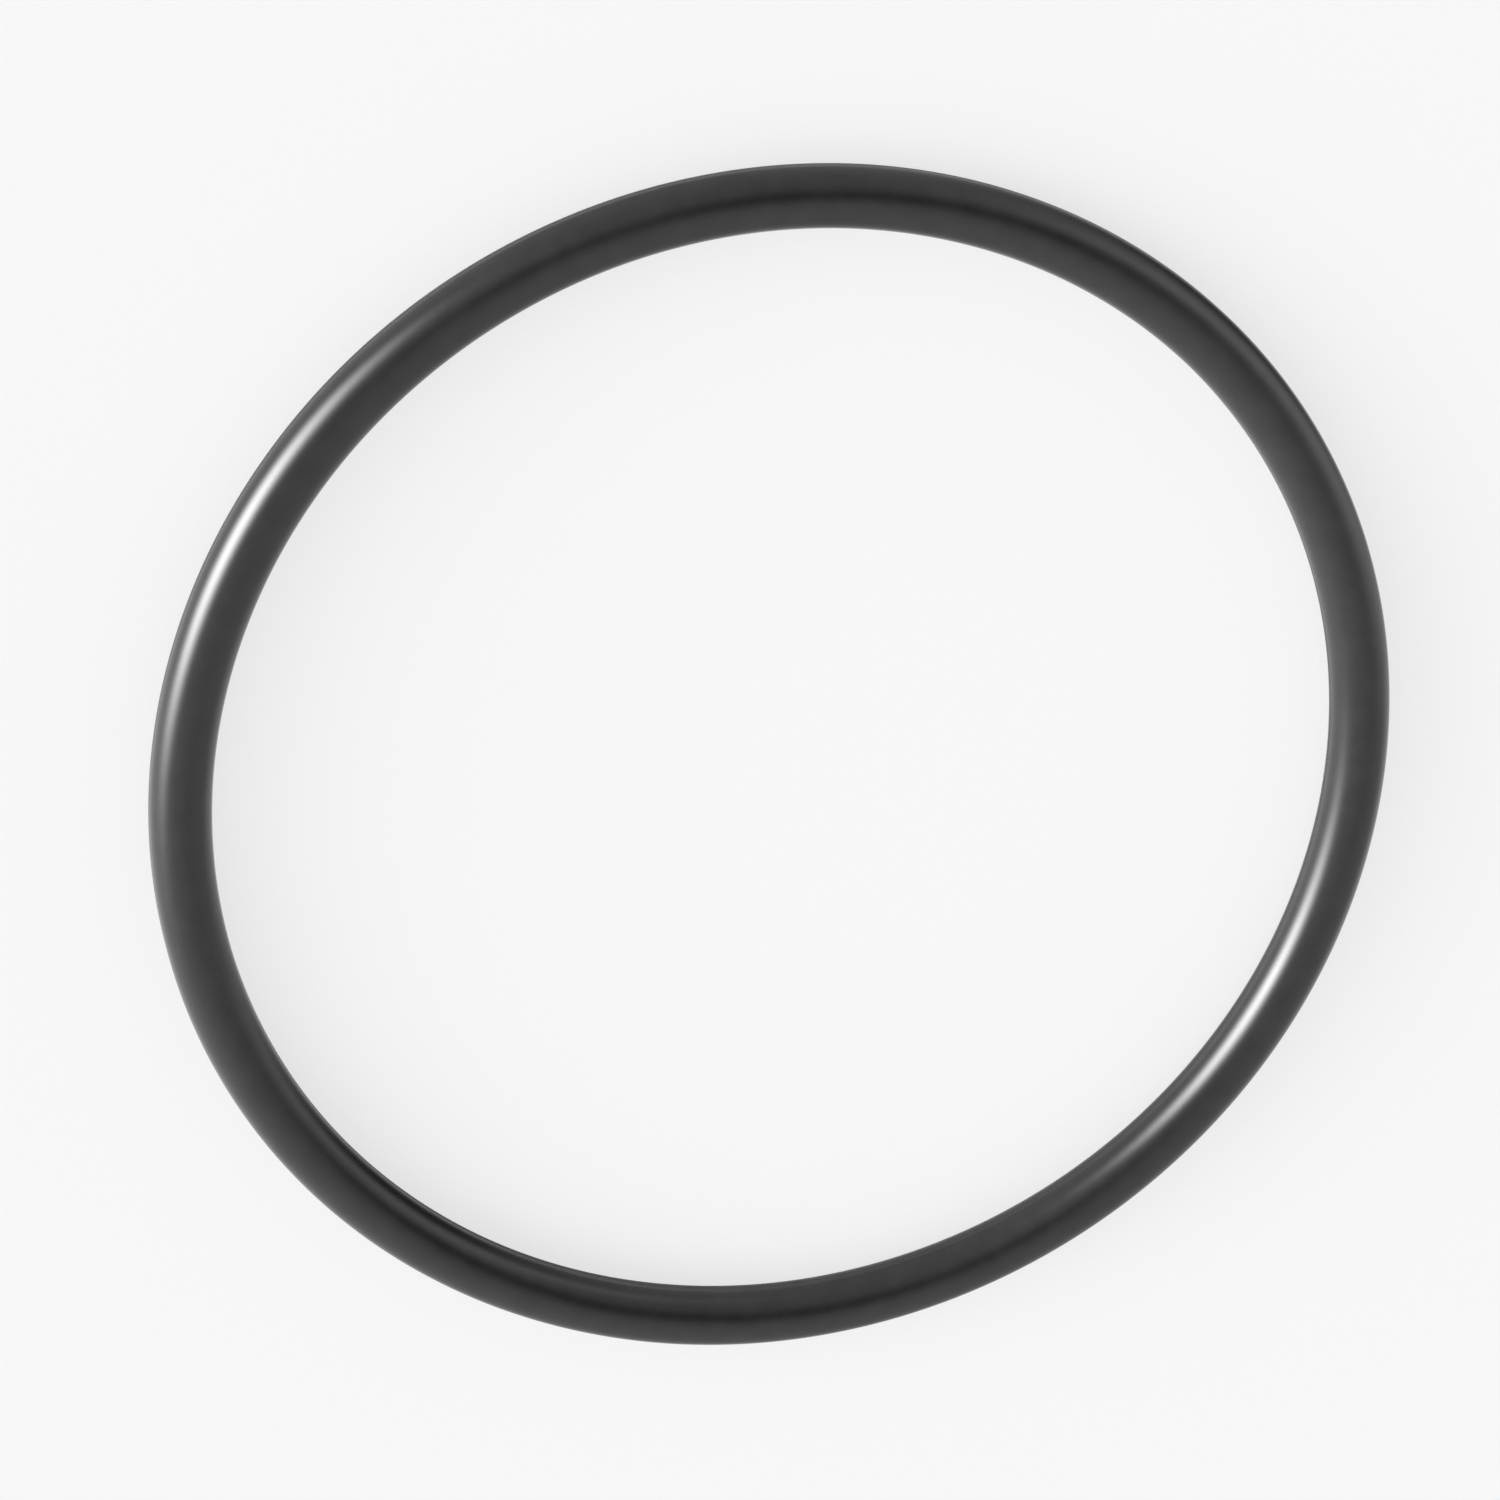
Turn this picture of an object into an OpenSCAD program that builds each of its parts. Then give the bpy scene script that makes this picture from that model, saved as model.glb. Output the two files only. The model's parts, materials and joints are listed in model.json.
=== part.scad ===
// Rubber o-ring, relaxed and lying flat: one endless ring of round section, moulded in two halves.
// Millimetres. The origin is the middle of the ring, halfway up the section, and +Z is its axis.
// The mould halves meet at mid-height. Their flash is trimmed off inside and outside the ring,
// which leaves a narrow cylindrical land at each place: the two seats that the ring is sized by.

/* [Ring] */
// Inside diameter of the relaxed ring, across the inner land
inner_d = 48.9; // [20:0.1:120]
// Diameter of the round section, which is also the ring's height when it lies flat
section_d = 2.62; // [1.6:0.01:7]

/* [Parting line] */
// Height of the land that trimming leaves where the mould halves met
land_h = 0.3; // [0.1:0.05:0.6]

/* [Hidden] */
rubber = [0.16, 0.16, 0.165];

// Half of the land is one leg, and the section's radius is the longest side, of a right triangle
section_r = section_d / 2;
land_from_middle = sqrt(pow(section_r, 2) - pow(land_h / 2, 2));
middle_r = inner_d / 2 + land_from_middle;

// Smoothness of the section and of the ring
section_facets = 96;
ring_facets = 240;

// Round section with its two sides trimmed flat at the parting line
module trimmed_section() {
    intersection() {
        circle(r = section_r, $fn = section_facets);
        square([2 * land_from_middle, 2 * section_d], center = true);
    }
}

module o_ring() {
    color(rubber)
        rotate_extrude($fn = ring_facets)
            translate([middle_r, 0])
                trimmed_section();
}

o_ring();
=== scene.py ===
import json
import math

import bmesh
import bpy
from mathutils import Matrix, Vector, noise


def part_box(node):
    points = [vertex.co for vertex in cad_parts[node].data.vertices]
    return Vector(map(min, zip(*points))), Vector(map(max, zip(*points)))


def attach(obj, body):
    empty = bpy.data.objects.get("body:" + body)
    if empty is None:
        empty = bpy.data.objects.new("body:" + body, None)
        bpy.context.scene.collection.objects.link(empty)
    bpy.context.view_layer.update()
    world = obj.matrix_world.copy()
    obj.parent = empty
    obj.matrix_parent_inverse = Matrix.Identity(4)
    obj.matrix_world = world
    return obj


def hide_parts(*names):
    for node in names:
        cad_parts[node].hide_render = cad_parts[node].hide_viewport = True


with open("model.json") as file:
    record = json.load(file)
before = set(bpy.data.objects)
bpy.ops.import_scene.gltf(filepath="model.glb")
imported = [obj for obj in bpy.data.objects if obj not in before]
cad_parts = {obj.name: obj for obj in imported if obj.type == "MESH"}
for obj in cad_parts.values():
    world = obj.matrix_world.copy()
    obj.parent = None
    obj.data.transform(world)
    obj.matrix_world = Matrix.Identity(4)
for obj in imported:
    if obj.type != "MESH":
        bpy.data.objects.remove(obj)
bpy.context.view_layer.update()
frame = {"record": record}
cadNode = "o_ring"
mm = 0.001


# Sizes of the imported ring

def mountSize(name, size):
    mount = next(m for m in frame["record"]["mounts"] if m["name"] == name)
    return mount["dims"][size] * mm


ringLow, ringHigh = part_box(cadNode)
sectionRadius = (ringHigh.z - ringLow.z) / 2
innerRadius = mountSize("inner_land", "r_mm")
outerRadius = mountSize("outer_land", "r_mm")
landHalf = mountSize("inner_land", "length_mm") / 2
middleRadius = (innerRadius + outerRadius) / 2
print(f"frame: middle radius {middleRadius / mm:.3f} mm, "
      f"section radius {sectionRadius / mm:.3f} mm")


# The camera, at the photo's angle to the ring

cameraView = {
    "lens": 108.416,          # mm, on a sensor 36 mm wide
    "sensor": 36.0,
    "clip": (5 * mm, 20),
    "back": 3.38711,          # in middle radii, from the ring's centre towards the camera
    "up": 6.64913,
    "lookAt": (0.00304594, 0.44455479, -0.89574648),  # directions, before the turn
    "right": (-0.85329518, 0.46821927, 0.22947344),
    # degrees round the ring's axis, for camera and studio together: the ring is alike all round,
    # and with this turn no side is looked at straight against the low light
    "turn": -66,
}
studioTurn = Matrix.Rotation(math.radians(cameraView["turn"]), 4, "Z")


def makeCamera(view):
    data = bpy.data.cameras.new("photoCamera")
    data.lens = view["lens"]
    data.sensor_width = view["sensor"]
    data.clip_start, data.clip_end = view["clip"]
    camera = bpy.data.objects.new("photoCamera", data)
    bpy.context.scene.collection.objects.link(camera)
    forward = Vector(view["lookAt"]).normalized()
    right = Vector(view["right"]).normalized()
    up = right.cross(forward)
    turn = Matrix((right, up, -forward)).transposed().to_4x4()
    place = Matrix.Translation(Vector((0, -view["back"], view["up"])) * middleRadius)
    camera.matrix_world = studioTurn @ place @ turn
    bpy.context.scene.camera = camera


makeCamera(cameraView)
print("camera: in place")


# Helpers for node trees

mixSockets = {"FLOAT": (2, 3, 0), "RGBA": (6, 7, 2)}  # both inputs and the output, by kind of value


def addNode(tree, kind, **values):
    node = tree.nodes.new(kind)
    for name, value in values.items():
        setattr(node, name, value)
    return node


def feed(tree, socket, value):
    # another node's output is joined, a plain value is set
    if isinstance(value, bpy.types.NodeSocket):
        tree.links.new(value, socket)
    else:
        socket.default_value = value


def mathNode(tree, operation, *values):
    node = addNode(tree, "ShaderNodeMath", operation=operation)
    for socket, value in zip(node.inputs, values):
        feed(tree, socket, value)
    return node.outputs[0]


def noiseNode(tree, place, scale, detail, roughness):
    node = addNode(tree, "ShaderNodeTexNoise")
    feed(tree, node.inputs["Vector"], place)
    feed(tree, node.inputs["Scale"], scale)
    feed(tree, node.inputs["Detail"], detail)
    feed(tree, node.inputs["Roughness"], roughness)
    return node.outputs["Fac"]


def rangeNode(tree, value, fromRange, toRange, interpolation="LINEAR"):
    node = addNode(tree, "ShaderNodeMapRange", interpolation_type=interpolation)
    names = ("Value", "From Min", "From Max", "To Min", "To Max")
    for name, given in zip(names, (value, *fromRange, *toRange)):
        feed(tree, node.inputs[name], given)
    return node.outputs["Result"]


def mixNode(tree, kind, share, first, second):
    node = addNode(tree, "ShaderNodeMix", data_type=kind)
    firstAt, secondAt, resultAt = mixSockets[kind]
    for at, value in ((0, share), (firstAt, first), (secondAt, second)):
        feed(tree, node.inputs[at], value)
    return node.outputs[resultAt]


def mixShaders(tree, share, first, second):
    node = addNode(tree, "ShaderNodeMixShader")
    for socket, value in zip(node.inputs, (share, first, second)):
        feed(tree, socket, value)
    return node.outputs[0]


# The rubber's finish

rubberFinish = {
    "slot": "black_rubber",
    "dark": (0.0165, 0.0165, 0.0168, 1),
    "light": (0.0215, 0.0215, 0.0218, 1),
    "rough": (0.17, 0.21),      # from the glossier smudges to the duller ones
    "landDull": 0.16,           # added to the roughness on the trimmed lands
    "shine": 0.5815,            # Specular IOR Level: at the plain IOR of 1.5 it stands for 1.55
    # noises: patches a metre, layers of finer ones, and how strongly those show
    "mottle": (900, 3, 0.5),    # in the colour
    "smudge": (260, 4, 0.55),   # in the gloss
    "grain": (16000, 2, 0.5),   # the mould's fine grain
    "flow": (1100, 2, 0.5),     # the soft waviness of moulded rubber
    "noiseSpan": (0.3, 0.7),    # where most of a noise's values lie
    "grainDepth": 0.0006 * mm,
    "flowDepth": 0.0020 * mm,
}
trimAttribute = "trimmed"


def makeRubber(finish):
    material = bpy.data.materials.new("blackRubber")
    material.use_nodes = True
    tree = material.node_tree
    shader = tree.nodes["Principled BSDF"]
    place = addNode(tree, "ShaderNodeTexCoord").outputs["Object"]
    trimmed = addNode(tree, "ShaderNodeAttribute", attribute_name=trimAttribute).outputs["Fac"]

    mottle = noiseNode(tree, place, *finish["mottle"])
    lighter = rangeNode(tree, mottle, finish["noiseSpan"], (0, 1), "SMOOTHSTEP")
    colour = mixNode(tree, "RGBA", lighter, finish["dark"], finish["light"])
    feed(tree, shader.inputs["Base Color"], colour)

    smudge = noiseNode(tree, place, *finish["smudge"])
    worn = rangeNode(tree, smudge, finish["noiseSpan"], finish["rough"], "SMOOTHSTEP")
    landRough = mathNode(tree, "MULTIPLY", trimmed, finish["landDull"])
    feed(tree, shader.inputs["Roughness"], mathNode(tree, "ADD", worn, landRough))

    grain = noiseNode(tree, place, *finish["grain"])
    flow = noiseNode(tree, place, *finish["flow"])
    fine = mathNode(tree, "MULTIPLY", grain, finish["grainDepth"])
    soft = mathNode(tree, "MULTIPLY", flow, finish["flowDepth"])
    bump = addNode(tree, "ShaderNodeBump")
    bump.inputs["Distance"].default_value = 1  # the height is in metres already
    feed(tree, bump.inputs["Height"], mathNode(tree, "ADD", fine, soft))
    feed(tree, shader.inputs["Normal"], bump.outputs["Normal"])

    shader.inputs["Specular IOR Level"].default_value = finish["shine"]
    return material


# The moulded ring

ringShape = {
    "name": "rubberRing",
    "aroundSteps": 720,     # steps round the ring
    "arcSteps": 42,         # steps on each of the section's two arcs
    "landSteps": 6,         # steps across each trimmed land
    "trimWander": 0.25,     # how much taller the land gets where the trim went deeper
    "trimLength": 5 * mm,   # how far one deeper stretch of trim runs
    "trimSeed": 3.7,        # which stretches those are
    "bakeMap": "OFBake",    # the UV map: the ring cut into strips, laid one above the other
    "bakeStrips": 4,
    "bakeEdge": 0.004,      # bare margin round each strip
}


def trimHalf(angle, side):
    # half the land's height there: never under the CAD's, so the ring never leaves its box
    spot = Vector((math.cos(angle), math.sin(angle), 0)) * middleRadius / ringShape["trimLength"]
    spot.z = ringShape["trimSeed"] * side
    deeper = (noise.noise(spot) + 1) / 2
    return landHalf * (1 + ringShape["trimWander"] * deeper)


def sectionPoints(angle):
    # one turn round the section: (distance outwards, height, share of trimming)
    points = []
    for side in (1, -1):
        half = trimHalf(angle, side)
        corner = math.asin(half / sectionRadius)
        flat = math.sqrt(sectionRadius ** 2 - half ** 2)
        for step in range(ringShape["landSteps"]):
            share = step / ringShape["landSteps"]
            points.append((side * flat, side * half * (2 * share - 1), 1.0))
        sweep = math.pi - corner - math.asin(trimHalf(angle, -side) / sectionRadius)
        for step in range(ringShape["arcSteps"]):
            turn = corner + sweep * step / ringShape["arcSteps"]
            outwards = side * sectionRadius * math.cos(turn)
            height = side * sectionRadius * math.sin(turn)
            points.append((outwards, height, 1.0 if step == 0 else 0.0))
    return points


def bakePlace(strip, along, across):
    # both shares run from 0 to 1: along the strip, and once round the section
    edge = ringShape["bakeEdge"]
    height = 1 / ringShape["bakeStrips"]
    return (edge + (1 - 2 * edge) * along, strip * height + edge + (height - 2 * edge) * across)


def makeRing(shape):
    mesh = bpy.data.meshes.new(shape["name"])
    build = bmesh.new()
    trimLayer = build.verts.layers.float.new(trimAttribute)
    bakeLayer = build.loops.layers.uv.new(shape["bakeMap"])
    rows = []
    for step in range(shape["aroundSteps"]):
        angle = 2 * math.pi * step / shape["aroundSteps"]
        row = []
        for outwards, height, trimmed in sectionPoints(angle):
            reach = middleRadius + outwards
            vertex = build.verts.new((reach * math.cos(angle), reach * math.sin(angle), height))
            vertex[trimLayer] = trimmed
            row.append(vertex)
        rows.append(row)
    count = len(rows[0])
    stripSteps = shape["aroundSteps"] // shape["bakeStrips"]
    for here, row in enumerate(rows):
        following = rows[(here + 1) % len(rows)]
        strip, step = divmod(here, stripSteps)
        for place in range(count):
            beyond = (place + 1) % count
            face = build.faces.new((row[place], following[place], following[beyond], row[beyond]))
            face.smooth = True
            corners = ((step, place), (step + 1, place), (step + 1, place + 1), (step, place + 1))
            for loop, (along, across) in zip(face.loops, corners):
                loop[bakeLayer].uv = bakePlace(strip, along / stripSteps, across / count)
    bmesh.ops.recalc_face_normals(build, faces=build.faces)
    build.to_mesh(mesh)
    build.free()
    piece = bpy.data.objects.new(shape["name"], mesh)
    bpy.context.scene.collection.objects.link(piece)
    return piece


rubberRing = makeRing(ringShape)
rubberRing.data.materials.append(makeRubber(rubberFinish))
# not mirrored in itself: its far side would show as a dark hairline beside the inner edge
rubberRing.visible_glossy = False
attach(rubberRing, "root")
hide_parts(cadNode)
print(f"ring: {len(rubberRing.data.polygons)} faces")


# The floor

floorLook = {
    "radius": 3.0,
    "steps": 96,
    "colour": (0.93, 0.93, 0.93, 1),
    "rough": 1,
    "shine": 0,             # it mirrors nothing
    "plainShare": 0.72,     # share of plain paleness where the camera sees the floor
    "plainLevel": 0.985,
    # the ring's gloss sees the floor up to the first distance, and from the second on looks past
    # it, so that the lying ring mirrors the studio all round, as the photo's standing ring does
    "glossSees": (1.2 * mm, 1.8 * mm),
}


def makeFloorPaint(look):
    material = bpy.data.materials.new("paleFloor")
    material.use_nodes = True
    tree = material.node_tree
    lit = tree.nodes["Principled BSDF"]
    lit.inputs["Base Color"].default_value = look["colour"]
    lit.inputs["Roughness"].default_value = look["rough"]
    lit.inputs["Specular IOR Level"].default_value = look["shine"]
    plain = addNode(tree, "ShaderNodeEmission")
    plain.inputs["Strength"].default_value = look["plainLevel"]
    through = addNode(tree, "ShaderNodeBsdfTransparent")
    ray = addNode(tree, "ShaderNodeLightPath")
    plainShare = mathNode(tree, "MULTIPLY", ray.outputs["Is Camera Ray"], look["plainShare"])
    seen = mixShaders(tree, plainShare, lit.outputs[0], plain.outputs[0])
    reach = rangeNode(tree, ray.outputs["Ray Length"], look["glossSees"], (0, 1))
    past = mathNode(tree, "MULTIPLY", ray.outputs["Is Glossy Ray"], reach)
    surface = mixShaders(tree, past, seen, through.outputs[0])
    feed(tree, tree.nodes["Material Output"].inputs["Surface"], surface)
    return material


def makeFloor(look):
    mesh = bpy.data.meshes.new("floor")
    build = bmesh.new()
    bmesh.ops.create_circle(build, cap_ends=True, segments=look["steps"], radius=look["radius"])
    build.to_mesh(mesh)
    build.free()
    mesh.materials.append(makeFloorPaint(look))
    floor = bpy.data.objects.new("floor", mesh)
    floor.location.z = ringLow.z
    bpy.context.scene.collection.objects.link(floor)


makeFloor(floorLook)
print("floor: in place")


# The studio light

studio = {
    "backdrop": 0.93,       # what the camera sees past the floor
    "base": 0.02,
    "least": 0.05,
    # soft patches of the walls: azimuth, elevation, sharpness, and how much they add or take
    "patches": (
        (54.9, -38.0, 0.67, 2.09),    # the broad pale side
        (125.5, 13.1, 15.7, 6.26),    # glow round the key
        (312.7, -0.6, 6.9, 1.50),     # pale wall across from it
        (318.2, 4.6, 10.9, -1.16),    # which ends here
        (269.7, 20.2, 45.5, 0.25),    # and its other, brighter end
        (287.5, -23.9, 8.4, -1.13),   # dark gap below that wall
        (287.5, 43.7, 20.5, -0.47),   # and above it
        (248.6, 70.0, 12.2, -0.50),   # dark ceiling
        (167.8, 68.0, 27.0, -0.26),
        (23.9, -26.3, 2.2, -1.36),    # dimmer walls in front and behind
        (199.3, -52.1, 8.8, -0.50),
    ),
}


def skyDirection(azimuth, elevation):
    # azimuth in degrees, clockwise from above, from straight away from the camera
    turn, lift = math.radians(azimuth), math.radians(elevation)
    flat = math.cos(lift)
    return studioTurn @ Vector((math.sin(turn) * flat, math.cos(turn) * flat, math.sin(lift)))


def makeWorld(light):
    world = bpy.data.worlds.new("studio")
    world.use_nodes = True
    bpy.context.scene.world = world
    tree = world.node_tree
    background = tree.nodes["Background"]
    towards = addNode(tree, "ShaderNodeTexCoord").outputs["Generated"]
    total = light["base"]
    for azimuth, elevation, sharpness, gain in light["patches"]:
        dot = addNode(tree, "ShaderNodeVectorMath", operation="DOT_PRODUCT")
        feed(tree, dot.inputs[0], towards)
        feed(tree, dot.inputs[1], skyDirection(azimuth, elevation))
        away = mathNode(tree, "MULTIPLY_ADD", dot.outputs["Value"], sharpness, -sharpness)
        total = mathNode(tree, "MULTIPLY_ADD", mathNode(tree, "EXPONENT", away), gain, total)
    total = mathNode(tree, "MAXIMUM", total, light["least"])
    ray = addNode(tree, "ShaderNodeLightPath")
    seen = mixNode(tree, "FLOAT", ray.outputs["Is Camera Ray"], total, light["backdrop"])
    feed(tree, background.inputs["Strength"], seen)
    background.inputs["Color"].default_value = (1, 1, 1, 1)


keyLight = {
    "azimuth": 137.2,
    "elevation": 16.6,
    "distance": 1.0,
    "width": 2.0,
    "height": 1.8,
    "acrossSharpness": 14.3,  # how fast it falls off from its middle, sideways
    "upSharpness": 17.8,      # and upwards
    "radiance": 16.75,        # at its middle
    "shadeShare": 0.22,       # how much of it lights the floor, for the soft shadow
}


def makeSoftbox(name, light, share):
    data = bpy.data.lights.new(name, "AREA")
    data.shape = "RECTANGLE"
    data.size = light["width"]
    data.size_y = light["height"]
    data.energy = share * light["radiance"] * math.pi * light["width"] * light["height"]
    data.use_nodes = True
    tree = data.node_tree
    spot = addNode(tree, "ShaderNodeSeparateXYZ")
    feed(tree, spot.inputs[0], addNode(tree, "ShaderNodeNewGeometry").outputs["Parametric"])
    fall = 0.0
    sides = (
        ("X", light["width"], light["acrossSharpness"]),
        ("Y", light["height"], light["upSharpness"]),
    )
    for side, size, sharpness in sides:
        slope = size / light["distance"]
        offset = mathNode(tree, "MULTIPLY_ADD", spot.outputs[side], slope, -slope / 2)
        squared = mathNode(tree, "MULTIPLY", offset, offset)
        fall = mathNode(tree, "MULTIPLY_ADD", squared, -sharpness / 2, fall)
    feed(tree, tree.nodes["Emission"].inputs["Strength"], mathNode(tree, "EXPONENT", fall))
    softbox = bpy.data.objects.new(name, data)
    towards = skyDirection(light["azimuth"], light["elevation"])
    softbox.location = towards * light["distance"]
    softbox.rotation_mode = "QUATERNION"
    softbox.rotation_quaternion = towards.to_track_quat("Z", "Y")
    softbox.visible_camera = False
    bpy.context.scene.collection.objects.link(softbox)
    return softbox


def makeKey(light):
    # the gloss takes the key whole, the floor a small share of it, to keep its plain level
    makeSoftbox("keyGloss", light, 1).visible_diffuse = False
    makeSoftbox("keyShade", light, light["shadeShare"]).visible_glossy = False


# a faint strip so close to the ring that its outer side mirrors more of it than the inner side
nearStrip = {
    "azimuth": 268.9,
    "elevation": 9.4,
    "distance": 41.2 * mm,    # from the ring's centre
    "width": 200 * mm,
    "height": 70 * mm,
    "acrossSharpness": 5.05,
    "upSharpness": 20.4,
    "radiance": 0.471,
}


def makeStrip(light):
    # the gloss alone takes it
    makeSoftbox("stripGloss", light, 1).visible_diffuse = False


makeWorld(studio)
makeKey(keyLight)
makeStrip(nearStrip)
bpy.context.scene.view_settings.view_transform = "Standard"
print("light: in place")
